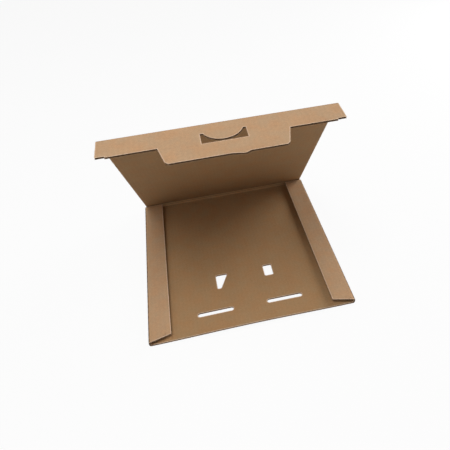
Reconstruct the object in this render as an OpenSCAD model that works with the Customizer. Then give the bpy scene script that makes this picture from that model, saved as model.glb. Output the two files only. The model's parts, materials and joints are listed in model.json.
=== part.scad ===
// Corrugated mailer box for a flat square product, folded from one die-cut sheet of kraft board.
// It stands open: the lid leans forward over the tray and its front flap is folded in.
// X runs along the lid's hinge, Y from the open front to the back wall, Z up.
// The origin is the centre of the tray's underside. Sizes are in millimetres, angles in degrees.

/* [Board] */
// Thickness of the corrugated board
board_t = 3; // [2:0.1:5]
// Thickness of each of the board's two faces
liner_t = 0.35; // [0.2:0.05:0.5]
// Thickness of the wavy layer between them
medium_t = 0.3; // [0.15:0.05:0.4]
// Distance between two crests of the wavy layer, whose flutes run from front to back
flute_pitch = 6.5; // [5:0.1:9]
// Depth to which the flutes stand open where the board is cut across them
flute_depth = 4; // [2:0.5:8]
// Depth of the open seam where the board is cut along the flutes
seam_depth = 1; // [0.5:0.1:1.5]
// Running gap along each folding edge of the lid and the front flap
crease_gap = 0.15; // [0.1:0.05:0.5]

/* [Tray] */
// Width across the outside of the side walls
box_w = 325; // [290:1:400]
// Depth from the cut front edge to the outside of the back wall
box_d = 318; // [250:1:400]
// Height of the walls, up to the top of the side flaps
tray_h = 11; // [10:0.5:40]
// Width of each side flap, from the outside of its wall
side_flap_w = 35; // [20:0.5:60]
// How far the front end of a side flap is cut back at its free edge
side_flap_taper = 8; // [0:0.5:25]
// Open gap between a side wall's back end and the back wall
corner_gap = 0.5; // [0.3:0.1:3]

/* [Openings in the base] */
// Length of each of the two slots near the front edge
slot_l = 57.5; // [30:0.5:65]
// Width of each slot
slot_w = 7; // [5:0.5:12]
// Board left between the two slots
slot_spacing = 55; // [30:0.5:80]
// Distance from the front edge to the middle of the slots
slot_from_front = 35; // [20:0.5:60]
// Distance from the front edge to the front of the two finger openings
finger_from_front = 80; // [70:1:120]
// Length of the left finger opening from front to back
finger_left_l = 29; // [15:0.5:40]
// Width of the left finger opening at its back end
finger_left_back = 20; // [10:0.5:30]
// Width of the left finger opening at its front end
finger_left_front = 6; // [5:0.5:20]
// Distance from the middle of the base to the left finger opening's outer edge
finger_left_x = 47; // [30:0.5:70]
// Length of the right finger opening from front to back
finger_right_l = 23; // [15:0.5:40]
// Width of the right finger opening
finger_right_w = 14.5; // [10:0.5:30]
// Distance from the middle of the base to the right finger opening's outer edge
finger_right_x = 50; // [30:0.5:70]
// How much farther back than the left one the right finger opening starts
finger_right_shift = 8; // [0:0.5:15]
// Radius of the corners of the finger openings
finger_r = 2; // [1:0.5:2.5]

/* [Lid] */
// How much narrower the lid is than the tray, at each side
lid_inset = 2.6; // [1:0.1:6]
// Angle of the lid above its closed place
lid_angle = 55.6; // [5:0.1:170]

/* [Front flap] */
// Depth of the full-width band, from the fold
band_d = 36; // [30:0.5:60]
// Length of the trimmed stretch at each end of the band's free edge
band_trim_l = 12; // [5:0.5:30]
// Depth of that trim
band_trim_d = 2.2; // [0.5:0.1:6]
// Width of the tongue where it leaves the band
tongue_root_w = 171; // [120:0.5:240]
// Width of the tongue at its free edge
tongue_tip_w = 156; // [100:0.5:220]
// Length of the tongue beyond the band
tongue_l = 33.5; // [10:0.5:60]
// Cut across each corner of the tongue
tongue_corner = 4; // [1:0.5:10]
// Distance from the tongue's middle to the torn nick on its free edge
nick_x = 21; // [10:1:60]
// Height of the torn nick
nick_h = 3.4; // [1:0.2:5]
// Length of the nick's long side, along the free edge
nick_rise = 17; // [5:1:30]
// Length of the nick's short side, along the free edge
nick_fall = 7; // [3:1:15]
// Angle of the front flap from the lid's own plane, folded in
flap_angle = 58.9; // [5:0.1:85]
// Clearance between the tray's front edge and the flap in front of it when the box is shut
front_gap = 0.5; // [0.3:0.1:3]

/* [Thumb window] */
// Width of the window cut through the front flap
window_w = 60; // [45:0.5:100]
// Length of the window, from the tab's root to its far edge
window_l = 21; // [14:0.1:30]
// Distance from the fold to the tab's root
window_from_fold = 19.7; // [10:0.1:30]
// Width of the rounded thumb tab at its root
tab_w = 53; // [30:0.5:90]
// Length of the thumb tab
tab_l = 17.2; // [10:0.1:25]

/* [Hidden] */
$fn = 96;
kraft = "#BF9D7A";
kraft_inside = "#A88662";
// Cuts run this far past the faces they go through
past = 1;
corner_steps = 8;
right_angle = 90;
half_turn = 180;
full_turn = 360;

// Wavy layer: height of its wave, and the stretch of each wave that stands clear of the face above it
core_t = board_t - 2 * liner_t;
wave_h = core_t - medium_t;
open_angle = 150;
open_step = 60;

// Tray
wall_x = box_w / 2 - board_t;
wall_top = tray_h - board_t;
front_y = -box_d / 2;
back_y = box_d / 2;
back_in_y = back_y - board_t;
side_end_y = back_in_y - corner_gap;
back_wall_w = box_w - 2 * lid_inset;
flap_reach = side_flap_w - board_t;
flap_edge_x = wall_x - flap_reach;
flap_flute_x = flap_edge_x + seam_depth;
base_flute_x = wall_x - board_t;

// Slots and finger openings
slot_x = (slot_spacing + slot_l) / 2;
slot_y = front_y + slot_from_front;
finger_y = front_y + finger_from_front;

// Lid and front flap, each laid out flat from its folding edge along +Y, inside face up
board_r = board_t / 2;
hinge_y = back_y - board_r;
hinge_z = tray_h + crease_gap + board_r;
lid_w = back_wall_w;
lid_l = box_d + front_gap;
groove_r = board_r + crease_gap;
tab_r = (pow(tab_w / 2, 2) + pow(tab_l, 2)) / (2 * tab_l);
trim_x = box_w / 2 - band_trim_l;
tongue_tip_y = band_d + tongue_l;

function unit(v) = v / norm(v);

// Points of the arc that rounds corner b between its neighbours a and c
function rounded_corner(a, b, c, r) =
    let (
        to_a = unit(a - b),
        to_c = unit(c - b),
        half = acos(to_a * to_c) / 2,
        centre = b + unit(to_a + to_c) * r / sin(half),
        first = b + to_a * r / tan(half) - centre,
        last = b + to_c * r / tan(half) - centre
    )
    [for (i = [0 : corner_steps])
        centre + r * unit(first * (1 - i / corner_steps) + last * i / corner_steps)];

function rounded_outline(points, r) =
    let (n = len(points))
    [for (k = [0 : n - 1])
        each rounded_corner(points[(k + n - 1) % n], points[k], points[(k + 1) % n], r)];

// Open end of one flute, seen along it from the middle of the board: side is 1 above the wave, -1 below it
module flute_end(side) {
    polygon([
        for (a = [-open_angle : open_step : open_angle])
            [flute_pitch * a / full_turn, side * (medium_t - wave_h * cos(a)) / 2],
        [flute_pitch * open_angle / full_turn, side * core_t / 2],
        [-flute_pitch * open_angle / full_turn, side * core_t / 2]
    ]);
}

// Flute ends of a board whose middle is at y = 0, along a cut edge from one x to another
module flute_row(from, to) {
    for (k = [ceil(2 * from / flute_pitch + 1) : floor(2 * to / flute_pitch - 1)])
        translate([k * flute_pitch / 2, 0]) flute_end(k % 2 == 0 ? 1 : -1);
}

// Opens the flutes from y = start to y = start + reach
module flute_cut(from, to, start, reach) {
    translate([0, start + reach, 0]) rotate([right_angle, 0, 0]) linear_extrude(reach) flute_row(from, to);
}

// Quarter of a disc as thick as the board, where the sheet bends round a crease
module bend_quarter() {
    intersection() {
        circle(board_t);
        square(board_t);
    }
}

// Bend at the foot of a wall whose inside is at x = 0, with the strip of base that it rises from
module foot_bend() {
    translate([-board_t, 0]) square(board_t);
    translate([0, board_t]) rotate(-right_angle) bend_quarter();
}

// One side of the tray seen from the front: bend, wall, bend and inward side flap with its open seam
module side_section() {
    difference() {
        union() {
            translate([wall_x, 0]) foot_bend();
            translate([wall_x, board_t]) square([board_t, wall_top - board_t]);
            translate([wall_x, wall_top]) bend_quarter();
            translate([flap_edge_x, wall_top]) square([flap_reach, board_t]);
        }
        translate([flap_edge_x - past, wall_top + liner_t]) square([past + seam_depth, core_t]);
    }
}

// Wedge of board cut off the front end of a side flap
module flap_taper_cut() {
    translate([0, 0, board_t + (wall_top - board_t) / 2]) linear_extrude(tray_h)
        polygon([
            [wall_x, front_y],
            [flap_edge_x, front_y + side_flap_taper],
            [flap_edge_x - past, front_y + side_flap_taper],
            [flap_edge_x - past, front_y - past],
            [wall_x, front_y - past]
        ]);
}

module tray_side() {
    difference() {
        translate([0, side_end_y, 0]) rotate([right_angle, 0, 0])
            linear_extrude(side_end_y - front_y) side_section();
        flap_taper_cut();
        translate([0, 0, wall_top + board_t / 2])
            flute_cut(flap_flute_x, wall_x, front_y - past, side_flap_taper + flute_depth + past);
    }
}

// Slot with round ends
module slot_outline() {
    straight = slot_l - slot_w;
    square([straight, slot_w], center = true);
    for (end = [-1, 1]) translate([end * straight / 2, 0]) circle(d = slot_w);
}

module finger_left_outline() {
    polygon(rounded_outline([
        [-finger_left_x, finger_y],
        [-finger_left_x + finger_left_front, finger_y],
        [-finger_left_x + finger_left_back, finger_y + finger_left_l],
        [-finger_left_x, finger_y + finger_left_l]
    ], finger_r));
}

module finger_right_outline() {
    start_y = finger_y + finger_right_shift;
    polygon(rounded_outline([
        [finger_right_x - finger_right_w, start_y],
        [finger_right_x, start_y],
        [finger_right_x, start_y + finger_right_l],
        [finger_right_x - finger_right_w, start_y + finger_right_l]
    ], finger_r));
}

module base_panel() {
    difference() {
        linear_extrude(board_t) difference() {
            translate([-wall_x, front_y]) square([2 * wall_x, back_in_y - front_y]);
            for (side = [-1, 1]) translate([side * slot_x, slot_y]) slot_outline();
            finger_left_outline();
            finger_right_outline();
        }
        translate([0, 0, board_t / 2])
            flute_cut(-base_flute_x, base_flute_x, front_y - past, flute_depth + past);
    }
}

// Back bend and back wall, which carries the lid
module back_wall() {
    translate([-back_wall_w / 2, back_in_y, 0]) rotate([right_angle, 0, right_angle])
        linear_extrude(back_wall_w) {
            foot_bend();
            translate([0, board_t]) square([board_t, tray_h - board_t]);
        }
}

module tray() {
    color(kraft_inside) {
        base_panel();
        back_wall();
        tray_side();
        mirror([1, 0, 0]) tray_side();
    }
}

// Round edge that a panel turns on, along X
module folding_edge(width, radius) {
    rotate([0, right_angle, 0]) cylinder(r = radius, h = width, center = true);
}

// Open seams along both sides of a panel that is laid out flat, from y = 0 to y = reach
module side_seams(width, reach) {
    for (side = [0, 1]) mirror([side, 0, 0])
        translate([width / 2 - seam_depth, 0, -core_t / 2]) cube([seam_depth + past, reach, core_t]);
}

// Lid laid flat: its hinge edge at y = 0, its end hollowed on the outside to nest round the flap's edge
module lid_flat() {
    folding_edge(lid_w, board_r);
    difference() {
        translate([-lid_w / 2, 0, -board_r]) cube([lid_w, lid_l, board_t]);
        translate([0, lid_l, 0]) folding_edge(lid_w + 2 * past, groove_r);
        translate([-lid_w / 2 - past, lid_l - groove_r, 0])
            cube([lid_w + 2 * past, board_t + past, board_t]);
        translate([0, board_t, 0]) side_seams(lid_w, lid_l - 2 * board_t);
    }
}

// Window with the rounded thumb tab left standing at its root
module window_outline() {
    difference() {
        translate([-window_w / 2, window_from_fold]) square([window_w, window_l]);
        translate([0, window_from_fold + tab_l - tab_r]) circle(tab_r);
    }
}

module front_flap_outline() {
    polygon([
        [-box_w / 2, 0],
        [-box_w / 2, band_d - band_trim_d],
        [-trim_x, band_d - band_trim_d],
        [-trim_x, band_d],
        [-tongue_root_w / 2, band_d],
        [-tongue_tip_w / 2, tongue_tip_y - tongue_corner],
        [-tongue_tip_w / 2 + tongue_corner, tongue_tip_y],
        [nick_x - nick_rise, tongue_tip_y],
        [nick_x, tongue_tip_y + nick_h],
        [nick_x + nick_fall, tongue_tip_y],
        [tongue_tip_w / 2 - tongue_corner, tongue_tip_y],
        [tongue_tip_w / 2, tongue_tip_y - tongue_corner],
        [tongue_root_w / 2, band_d],
        [trim_x, band_d],
        [trim_x, band_d - band_trim_d],
        [box_w / 2, band_d - band_trim_d],
        [box_w / 2, 0]
    ]);
}

// Flute ends in the free edges of the band and the tongue, apart from the torn nick
module front_flap_flutes() {
    flute_reach = flute_depth + past;
    for (side = [0, 1]) mirror([side, 0, 0]) {
        flute_cut(trim_x, box_w / 2 - seam_depth, band_d - band_trim_d - flute_depth, flute_reach);
        flute_cut(tongue_root_w / 2, trim_x, band_d - flute_depth, flute_reach);
    }
    flute_cut(tongue_corner - tongue_tip_w / 2, nick_x - nick_rise, tongue_tip_y - flute_depth, flute_reach);
    flute_cut(nick_x + nick_fall, tongue_tip_w / 2 - tongue_corner, tongue_tip_y - flute_depth, flute_reach);
}

module front_flap_flat() {
    folding_edge(box_w, board_r);
    difference() {
        translate([0, 0, -board_r]) linear_extrude(board_t) difference() {
            front_flap_outline();
            window_outline();
        }
        translate([0, board_t, 0]) side_seams(box_w, band_d);
        front_flap_flutes();
    }
}

// Puts a panel that is laid out flat on the back wall's hinge line, at the lid's angle
module on_hinge() {
    translate([0, hinge_y, hinge_z]) rotate([half_turn - lid_angle, 0, 0]) children();
}

module lid() {
    color(kraft_inside) on_hinge() lid_flat();
}

module front_flap() {
    color(kraft) on_hinge() translate([0, lid_l, 0]) rotate([flap_angle, 0, 0]) front_flap_flat();
}

tray();
lid();
front_flap();
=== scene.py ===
"""Dresses the mailer box in real corrugated board, folded from one sheet, and sets it on a pale floor.

Each panel is laid out flat, as the die cuts it. Across runs along the lid's hinge. Along runs from the open
front over the tray, the lid and the front flap. Height is measured from the middle of the board towards its
inside. The panels are then folded into place about the joints of the frame. Sizes are in metres.
"""

import json
from functools import partial
from math import ceil, inf, pi, radians

import bpy
import numpy as np
from bpy.props import FloatProperty, FloatVectorProperty, PointerProperty
from bpy.types import Operator, Panel, PropertyGroup
from mathutils import Matrix, Vector
from mathutils.geometry import delaunay_2d_cdt


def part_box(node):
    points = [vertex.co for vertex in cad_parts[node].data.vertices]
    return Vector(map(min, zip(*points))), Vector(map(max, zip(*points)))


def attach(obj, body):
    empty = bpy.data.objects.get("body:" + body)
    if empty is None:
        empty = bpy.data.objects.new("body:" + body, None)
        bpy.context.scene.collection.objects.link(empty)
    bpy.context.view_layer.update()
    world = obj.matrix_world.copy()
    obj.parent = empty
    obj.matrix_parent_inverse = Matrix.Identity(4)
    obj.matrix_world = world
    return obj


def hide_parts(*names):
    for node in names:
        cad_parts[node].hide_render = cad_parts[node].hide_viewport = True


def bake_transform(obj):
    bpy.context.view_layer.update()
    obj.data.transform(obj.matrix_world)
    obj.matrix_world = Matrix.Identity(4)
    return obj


bl_info = {
    "name": "Corrugated Mailer Box",
    "version": (1, 0, 0),
    "blender": (4, 5, 0),
    "location": "View3D > Sidebar > Mailer Box",
    "description": "Builds a flat mailer box from corrugated board, with open flutes and creased paper",
    "category": "Add Mesh",
}

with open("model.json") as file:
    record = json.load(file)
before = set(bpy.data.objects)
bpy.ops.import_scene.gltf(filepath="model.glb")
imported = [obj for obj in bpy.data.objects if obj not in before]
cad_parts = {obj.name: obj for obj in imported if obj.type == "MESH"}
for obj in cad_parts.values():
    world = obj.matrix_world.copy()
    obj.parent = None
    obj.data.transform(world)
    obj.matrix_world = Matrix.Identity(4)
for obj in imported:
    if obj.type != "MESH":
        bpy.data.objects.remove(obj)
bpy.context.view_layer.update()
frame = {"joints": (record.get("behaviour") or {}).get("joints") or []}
joints = {joint["name"]: joint for joint in frame["joints"]}

MM = 0.001

# From the frame: the tray's outside and the two creases that move
TRAY_LOW, TRAY_HIGH = (np.array(corner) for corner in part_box("tray"))
HINGE = np.array(joints["lid_hinge"]["pos_m"])
FOLD = np.array(joints["front_flap_fold"]["pos_m"])
LID_LENGTH = np.linalg.norm(FOLD - HINGE)

# How far the lid stands open and how far the front flap is folded in, at rest
LID_OPEN = radians(joints["lid_hinge"]["range_deg"][1])
FLAP_FOLDED = -radians(joints["front_flap_fold"]["range_deg"][0])

# Way that each of them runs from its crease, as a turn from straight back, upwards and over to the front
LID_TURN = pi - LID_OPEN
FLAP_TURN = LID_TURN + FLAP_FOLDED


def length(name, text, default):
    return FloatProperty(name=name, description=text, default=default, unit="LENGTH", precision=5, min=0.0)


def share(name, text, default):
    return FloatProperty(name=name, description=text, default=default, subtype="FACTOR", min=0.0, max=1.0)


def power(name, text, default):
    return FloatProperty(name=name, description=text, default=default, unit="POWER", min=0.0)


def tint(name, text, default):
    return FloatVectorProperty(
        name=name, description=text, default=default, subtype="COLOR", size=3, min=0.0, max=1.0
    )


class BoardSettings(PropertyGroup):
    """The corrugated board that every panel is cut from"""

    thickness: length("Thickness", "Thickness of the whole board", 3.0 * MM)
    liner: length("Liner", "Thickness of each of its two faces", 0.35 * MM)
    medium: length("Medium", "Thickness of the wavy layer between them", 0.3 * MM)
    flute_pitch: length("Flute pitch", "Distance between two crests of the wavy layer", 6.5 * MM)
    open_depth: length("Open depth", "How deep a cut edge stands open", 4.0 * MM)
    rim: length("Rim", "Width of the strip that the die presses down along a cut", 1.6 * MM)
    ragged: length("Ragged", "How far a cut edge strays from its line", 0.22 * MM)
    bend_radius: length("Bend radius", "Inside radius of a folded crease", 0.4 * MM)
    crush: share("Crush", "Share of the thickness that is lost at a cut edge", 0.16)
    mesh_step: length("Mesh step", "Distance between the points inside a panel", 7.0 * MM)


class TraySettings(PropertyGroup):
    """Base, walls and side flaps"""

    side_flap_w: length("Side flap width", "From the outside of its wall", 35.0 * MM)
    side_flap_taper: length("Side flap taper", "How far its slanted front end is cut back", 8.0 * MM)
    side_flap_sag: length("Side flap sag", "How far the free edge of a side flap hangs", 0.6 * MM)
    front_bow: length("Front bow", "How far the middle of the front edge bows up off the floor", 2.6 * MM)
    front_bow_reach: length("Front bow reach", "How far back from the front edge the base bows", 120.0 * MM)
    corner_gap: length("Corner gap", "Between a side wall's back end and the back wall", 0.5 * MM)
    slot_l: length("Slot length", "Length of each of the two slots near the front", 57.5 * MM)
    slot_w: length("Slot width", "Width of each slot", 7.0 * MM)
    slot_spacing: length("Slot spacing", "Board left between the two slots", 55.0 * MM)
    slot_from_front: length("Slot from front", "From the front edge to the middle of the slots", 35.0 * MM)
    finger_from_front: length("Finger openings from front", "From the front edge to the left one", 80.0 * MM)
    finger_left_l: length("Left finger opening length", "From front to back", 29.0 * MM)
    finger_left_back: length("Left finger opening back", "Its width at the back end", 20.0 * MM)
    finger_left_front: length("Left finger opening front", "Its width at the front end", 6.0 * MM)
    finger_left_x: length("Left finger opening place", "From the middle to its outer edge", 47.0 * MM)
    finger_right_l: length("Right finger opening length", "From front to back", 23.0 * MM)
    finger_right_w: length("Right finger opening width", "Its width", 14.5 * MM)
    finger_right_x: length("Right finger opening place", "From the middle to its outer edge", 50.0 * MM)
    finger_right_shift: length("Right finger opening shift", "How much farther back it starts", 8.0 * MM)
    finger_r: length("Finger opening corners", "Radius of their corners", 2.0 * MM)


class LidSettings(PropertyGroup):
    """Lid"""

    inset: length("Inset", "How much narrower the lid is than the tray, at each side", 2.6 * MM)
    fold_gap: length("Fold gap", "Running gap round the front flap's folding edge", 0.15 * MM)
    bow: length("Bow", "How far the middle of the lid bulges outward", 0.8 * MM)


class FlapSettings(PropertyGroup):
    """Front flap with its band, tongue and thumb window"""

    band_d: length("Band depth", "From the fold to the band's free edge", 36.0 * MM)
    band_trim_l: length("Trim length", "Length of the trimmed stretch at each end of the band", 12.0 * MM)
    band_trim_d: length("Trim depth", "Depth of that trim", 2.2 * MM)
    tongue_root_w: length("Tongue root", "Width of the tongue where it leaves the band", 171.0 * MM)
    tongue_tip_w: length("Tongue tip", "Width of the tongue at its free edge", 156.0 * MM)
    tongue_l: length("Tongue length", "Length of the tongue beyond the band", 33.5 * MM)
    tongue_corner: length("Tongue corner", "Cut across each corner of the tongue", 4.0 * MM)
    nick_x: length("Nick place", "From the tongue's middle to the torn nick on its free edge", 21.0 * MM)
    nick_h: length("Nick height", "Height of the torn nick", 3.4 * MM)
    nick_rise: length("Nick rise", "Length of its long side", 17.0 * MM)
    nick_fall: length("Nick fall", "Length of its short side", 7.0 * MM)
    window_w: length("Window width", "Width of the thumb window", 60.0 * MM)
    window_l: length("Window length", "From the tab's root to the far edge", 21.0 * MM)
    window_from_fold: length("Window from fold", "From the fold to the tab's root", 19.7 * MM)
    tab_w: length("Tab width", "Width of the thumb tab at its root", 53.0 * MM)
    tab_l: length("Tab length", "Length of the thumb tab", 17.2 * MM)


class CreaseSettings(PropertyGroup):
    """Paper that runs on over a folded crease"""

    paper: length("Paper", "Thickness of the paper that shows at the crease", 0.12 * MM)
    proud: length("Proud", "How far it stands off the board", 0.04 * MM)
    lap: length("Lap", "How far it runs on over each of the two panels", 3.0 * MM)


class KraftSettings(PropertyGroup):
    """Colours of the kraft paper, and of the painted shade along its creases"""

    outside: tint("Outside", "Paper on the outside of the sheet", (0.526, 0.331, 0.189))
    inside: tint("Inside", "Paper on the inside of the sheet", (0.395, 0.236, 0.114))
    core: tint("Core", "Wavy layer and cut edges", (0.300, 0.180, 0.095))
    scuffed: tint("Scuffed", "Fibres along a cut edge", (0.760, 0.560, 0.400))
    # Painted shade: a dark line along each crease, standing for the shadow in the fold's groove
    crease_shade: tint("Pressed", "Paper along a crease", (0.140, 0.080, 0.040))


class StageSettings(PropertyGroup):
    """Floor, lamps and camera"""

    floor_side: length("Floor side", "Side of the square floor", 8.0)
    floor: tint("Floor", "Colour of the floor", (0.80, 0.80, 0.80))
    floor_glow: share("Floor glow", "How much of the floor shows as plain white to the camera", 0.93)
    sky: FloatProperty(name="Sky", description="Strength of the even light all round", default=0.03, min=0.0)
    lamp_distance: length("Lamp distance", "From the middle of the box to each lamp", 1.6)
    lamp_side: length("Lamp size", "Side of each square lamp", 0.9)
    top_front_lamp: power("Top front lamp", "Its power", 9.1)
    top_back_lamp: power("Top back lamp", "Its power", 5.5)
    back_right_lamp: power("Back right lamp", "Its power", 17.8)
    front_right_lamp: power("Front right lamp", "Its power", 2.7)
    front_left_lamp: power("Front left lamp", "Its power", 3.4)
    camera_target: FloatVectorProperty(
        name="Camera target",
        description="Point that the camera looks at",
        default=(0.052047, 0.044052, 0.0),
        subtype="XYZ",
        unit="LENGTH",
        size=3,
    )
    camera_distance: length("Camera distance", "From the camera to that point", 0.808609)
    camera_turn: FloatVectorProperty(
        name="Camera turn",
        description="Azimuth, elevation and roll of the camera",
        default=(radians(-8.670), radians(44.689), radians(-4.651)),
        subtype="EULER",
        size=3,
    )
    focal_pixels: FloatProperty(
        name="Focal length", description="In pixels of the photo, which is 450 pixels wide", default=425.59
    )
    centre_pixels: FloatVectorProperty(
        name="Picture centre", description="Pixel on the camera's axis", default=(260.789, 228.883), size=2
    )


class MailerSettings(PropertyGroup):
    """Everything that can be set on the mailer box"""

    board: PointerProperty(type=BoardSettings)
    tray: PointerProperty(type=TraySettings)
    lid: PointerProperty(type=LidSettings)
    flap: PointerProperty(type=FlapSettings)
    crease: PointerProperty(type=CreaseSettings)
    kraft: PointerProperty(type=KraftSettings)
    stage: PointerProperty(type=StageSettings)


# Objects with the marks that the papers draw on

# Distance to a cut that counts as far from any
FAR_FROM_CUT = 1.0


def put_in_scene(name, data):
    """Object that shows a mesh, a lamp or a camera."""
    made = bpy.data.objects.new(name, data)
    bpy.context.scene.collection.objects.link(made)
    return made


def new_piece(name, points, faces, sheet, rims, gaps, sharp_from):
    """Smooth piece. Its points keep their place on the sheet and their distance to a cut and to a crease."""
    mesh = bpy.data.meshes.new(name)
    mesh.from_pydata(points, [], faces)
    mesh.polygons.foreach_set("use_smooth", [True] * len(faces))
    mesh.attributes.new("sheet", "FLOAT_VECTOR", "POINT").data.foreach_set("vector", np.ravel(sheet))
    for mark, values in (("rim", rims), ("crease_gap", gaps)):
        mesh.attributes.new(mark, "FLOAT", "POINT").data.foreach_set("value", values)
    mesh.update()
    mesh.set_sharp_from_angle(angle=sharp_from)
    return put_in_scene(name, mesh)


# Outlines on the flat sheet

# The board is always on the left of an outline. Each point comes with the kind of edge that follows it: CUT,
# or the profile of a folding edge as (outward, height) pairs from the inside face to the outside face.
CUT = None

# Finishes in the order of a piece's materials
INSIDE, OUTSIDE, CORE = range(3)

SLOT_STEPS = 16
CORNER_STEPS = 5
TAB_STEPS = 48
BEAD_STEPS = 12


def unit(v):
    return v / np.linalg.norm(v)


def left_of(v):
    return np.array((-v[1], v[0]))


def both_sides(right, front):
    """Whole outline from its right half, which runs from front to back, and the edge across the front."""
    points = [np.array(point) for point, _ in right]
    kinds = [kind for _, kind in right]
    left = [point * (-1.0, 1.0) for point in reversed(points)]
    return points + left, kinds + kinds[-2::-1] + [front]


def opening(points):
    """Opening through the board, whose points run clockwise."""
    return [np.array(point) for point in points], [CUT] * len(points)


def arc(centre, radius, start, end, steps):
    turns = np.linspace(start, end, steps + 1)
    return [np.array(centre) + radius * np.array((np.cos(turn), np.sin(turn))) for turn in turns]


def slot(middle, long, wide):
    """Slot with round ends."""
    reach = (long - wide) / 2
    right = arc((middle[0] + reach, middle[1]), wide / 2, pi / 2, -pi / 2, SLOT_STEPS)
    left = arc((middle[0] - reach, middle[1]), wide / 2, -pi / 2, -3 * pi / 2, SLOT_STEPS)
    return opening(right + left)


def rounded_opening(points, radius):
    """Straight-sided opening with rounded corners."""
    points = [np.array(point) for point in points]
    outline = []
    for i, corner in enumerate(points):
        to_last = unit(points[i - 1] - corner)
        to_next = unit(points[(i + 1) % len(points)] - corner)
        half = np.arccos(to_last @ to_next) / 2
        centre = corner + unit(to_last + to_next) * radius / np.sin(half)
        first = unit(corner + to_last * radius / np.tan(half) - centre)
        last = unit(corner + to_next * radius / np.tan(half) - centre)
        for part in np.linspace(0, 1, CORNER_STEPS + 1):
            outline.append(centre + radius * unit(first * (1 - part) + last * part))
    return opening(outline)


class Walk:
    """Samples along one outline: where each is, which way its inset goes, how deep the inset may be."""

    # Steps across the flutes, and along them on an edge that is longer than SHORT
    FINE, COARSE, SHORT = 0.54 * MM, 4.0 * MM, 30.0 * MM

    # How far the samples of a folding edge keep from its corners
    CLEAR = 2.0 * MM

    # Inset that each sample of a cut must have room for, in shares of the rim's width
    ROOM = 1.1

    # Least slant between two edges that makes a corner
    SLANT = 1e-4

    def __init__(self, outline, board):
        self.board = board
        corners, self.kinds = outline
        count = len(corners)
        ahead = [unit(corners[(i + 1) % count] - corners[i]) for i in range(count)]
        insets = [
            self.corner_inset(ahead[i - 1], ahead[i], self.kinds[i - 1], self.kinds[i]) for i in range(count)
        ]
        self.places, self.insets, self.reach, self.edge = [], [], [], []
        self.corner_at = []
        for i in range(count):
            j = (i + 1) % count
            self.corner_at.append(len(self.places))
            self.add(corners[i], insets[i], board.open_depth, i)
            self.add_between(i, corners[i], corners[j], insets[i], insets[j], ahead[i])
        self.places, self.insets, self.reach = map(np.array, (self.places, self.insets, self.reach))
        self.cut = np.array([self.kinds[i] is CUT for i in self.edge])

    @staticmethod
    def corner_inset(before, after, kind_before, kind_after):
        """Inset of a corner: one unit off each cut edge beside it, and none off a folding edge."""
        want = np.array((kind_before is CUT, kind_after is CUT), float)
        sides = np.array((left_of(before), left_of(after)))
        if abs(np.linalg.det(sides)) < Walk.SLANT:
            return sides[0] * want[0]
        return np.linalg.solve(sides, want)

    def add(self, point, inset, reach, edge):
        self.places.append(point)
        self.insets.append(inset)
        self.reach.append(reach)
        self.edge.append(edge)

    def add_between(self, i, start, end, start_inset, end_inset, ahead):
        """Samples inside an edge, apart from those that the insets of its corners would run over."""
        long = np.linalg.norm(end - start)
        across, along = np.abs(end - start)
        coarse = self.COARSE if long > self.SHORT else self.FINE
        steps = ceil(max(across / self.FINE, along / coarse, 1))
        from_start = max(start_inset @ ahead, 0.0)
        from_end = max(-(end_inset @ ahead), 0.0)
        for k in range(1, steps):
            gone, left = long * k / steps, long * (1 - k / steps)
            point = start + ahead * gone
            start_room = gone / from_start if from_start else inf
            end_room = left / from_end if from_end else inf
            room = min(start_room, end_room)
            if self.kinds[i] is CUT and room > self.board.rim * self.ROOM:
                self.add(point, left_of(ahead), min(room, self.board.open_depth), i)
            elif self.kinds[i] is not CUT and min(gone, left) > self.CLEAR:
                self.add(point, np.zeros(2), 0.0, i)

    def ring(self, depth):
        """The outline moved inward, with its ragged line along the cuts."""
        ragged = self.board.ragged * (0.5 + 0.5 * waver(self.places)) * max(0.0, 1 - depth / self.board.rim)
        inward = np.minimum(depth, self.reach) + ragged * (self.reach > 0)
        return self.places + self.insets * inward[:, None]


def waver(places):
    """Irregular wave between -1 and 1, made of three sine waves that are 1.7 to 5 mm long."""
    x, y = np.asarray(places).T / MM
    wide = 0.45 * np.sin(1.3 * x + 2.1 * np.sin(0.37 * y))
    fine = 0.3 * np.sin(3.1 * x + 1.9 * y)
    slanted = 0.25 * np.sin(0.7 * x - 2.3 * y)
    return wide + fine + slanted


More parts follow.
